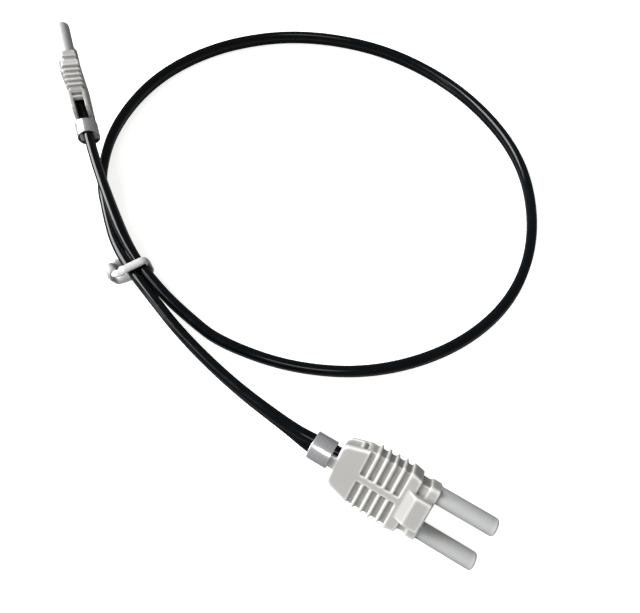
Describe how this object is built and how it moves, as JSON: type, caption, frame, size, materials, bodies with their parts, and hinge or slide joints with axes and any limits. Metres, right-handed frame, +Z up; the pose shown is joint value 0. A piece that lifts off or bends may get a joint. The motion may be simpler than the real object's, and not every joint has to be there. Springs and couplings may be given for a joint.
{
  "type": "plastic fibre patch cord",
  "caption": "Duplex plastic optical fibre patch cord lying in one tied loop, with a ribbed latching plug and a crimp ring on each end.",
  "frame": {"origin": "on the table under the middle of the whole cord's box", "axes": "+Z up from the table, +Y from the near plug's side of the loop to the far side, +X to the right of it"},
  "size_m": [0.1238, 0.1458, 0.0192],
  "materials": {
    "plug_plastic": "light grey injection moulding, satin",
    "ring_metal": "turned, bright",
    "jacket": "black polyethylene, glossy",
    "fibre_core": "clear acrylic fibre, cut and polished",
    "tie_coating": "white plastic coating over wire"
  },
  "bodies": {
    "root": {"near_connector_body": "plug_plastic", "far_connector_body": "plug_plastic", "near_crimp_ring": "ring_metal", "far_crimp_ring": "ring_metal", "jacket_a": "jacket", "jacket_b": "jacket", "fibre_a": "fibre_core", "fibre_b": "fibre_core", "twist_tie": "tie_coating"}
  },
  "joints": []
}
